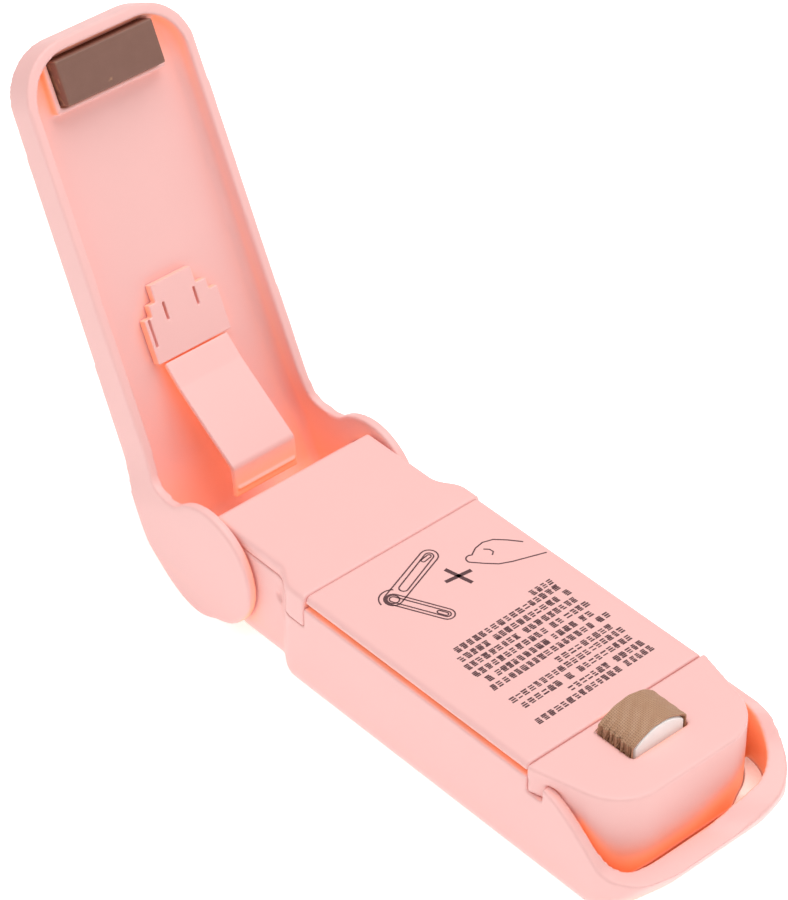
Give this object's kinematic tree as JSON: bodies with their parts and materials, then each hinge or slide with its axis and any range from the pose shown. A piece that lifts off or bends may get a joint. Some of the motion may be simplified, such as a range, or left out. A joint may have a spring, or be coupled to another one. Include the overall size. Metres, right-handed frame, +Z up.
{
  "type": "handheld bag heat sealer",
  "caption": "Handheld battery bag heat sealer with a hinged lever arm, silicone pad, cloth-covered heating head and battery cover.",
  "frame": {"origin": "on the flat base, on the centre line, halfway along the closed body", "axes": "+X from the hinge to the sealing head, +Y across the body, +Z up from the base"},
  "size_m": [0.1509, 0.038, 0.0861],
  "materials": {
    "pink_plastic": "fine satin moulded ABS, pale coral pink",
    "inner_plastic": "satin moulded ABS, same pink, inside parts",
    "silicone_pad": "matte brown silicone rubber",
    "white_core": "off-white heat-resistant moulding",
    "ptfe_cloth": "tan PTFE-coated glass cloth, fine weave",
    "white_plastic": "white moulded plastic",
    "steel": "bright steel",
    "spring_steel": "nickel-plated spring wire",
    "nickel_plate": "nickel-plated contact strip",
    "heater_strip": "nichrome strip",
    "cell_sleeve": "plain printed sleeve of an AA cell",
    "cell_terminal": "nickel-plated terminal",
    "brass_contact": "brass strip",
    "lead_insulation": "soft PVC insulation",
    "screw_steel": "zinc-plated steel screw"
  },
  "bodies": {
    "casing": {"bottom_casing": "pink_plastic", "hinge_block": "pink_plastic", "head_block": "pink_plastic", "cell_cradle": "inner_plastic", "cradle_screws": "screw_steel", "cell_left_can": "cell_sleeve", "cell_left_terminal": "cell_terminal", "cell_right_can": "cell_sleeve", "cell_right_terminal": "cell_terminal", "contact_spring_rear": "spring_steel", "contact_spring_front": "spring_steel", "contact_plate_left": "nickel_plate", "contact_plate_right": "nickel_plate", "bridge_plate": "nickel_plate", "switch_contact": "brass_contact", "lead_wire_left": "lead_insulation", "lead_wire_right": "lead_insulation", "heater_spring": "spring_steel"},
    "cover": {"battery_cover": "pink_plastic"},
    "arm": {"arm_shell": "pink_plastic", "seal_pad": "silicone_pad", "leaf_clip": "pink_plastic", "hinge_pin": "steel"},
    "leaf": {"return_leaf": "pink_plastic"},
    "heater": {"heater_carriage": "inner_plastic", "heater_core": "white_core", "heater_wire": "heater_strip", "heater_cloth": "ptfe_cloth", "switch_blade": "brass_contact"},
    "key": {"safety_key": "white_plastic"}
  },
  "joints": [
    {"name": "arm_hinge", "type": "hinge", "parent": "casing", "child": "arm", "pos_m": [-0.0447, 0, 0.0115], "axis": [0, 1, 0], "range_deg": [0, 113]},
    {"name": "leaf_flex", "type": "hinge", "parent": "arm", "child": "leaf", "pos_m": [-0.06898, 0, 0.03231], "axis": [0, 1, 0], "range_deg": [0, 21.32]},
    {"name": "cover_lift", "type": "slide", "parent": "casing", "child": "cover", "axis": [0, 0, 1], "range_m": [0, 0.02]},
    {"name": "heater_press", "type": "slide", "parent": "casing", "child": "heater", "axis": [0, 0, -1], "range_m": [0, 0.0015], "stiffness_N_per_m": 900, "springref_m": -0.001, "deforming": ["heater_spring"]},
    {"name": "safety_press", "type": "slide", "parent": "casing", "child": "key", "axis": [0, 0, -1], "range_m": [0, 0.001], "stiffness_N_per_m": 300, "springref_m": -0.0005}
  ],
  "couplings": [
    {"joint": "leaf_flex", "follows": "arm_hinge", "ratio": 0.186}
  ]
}
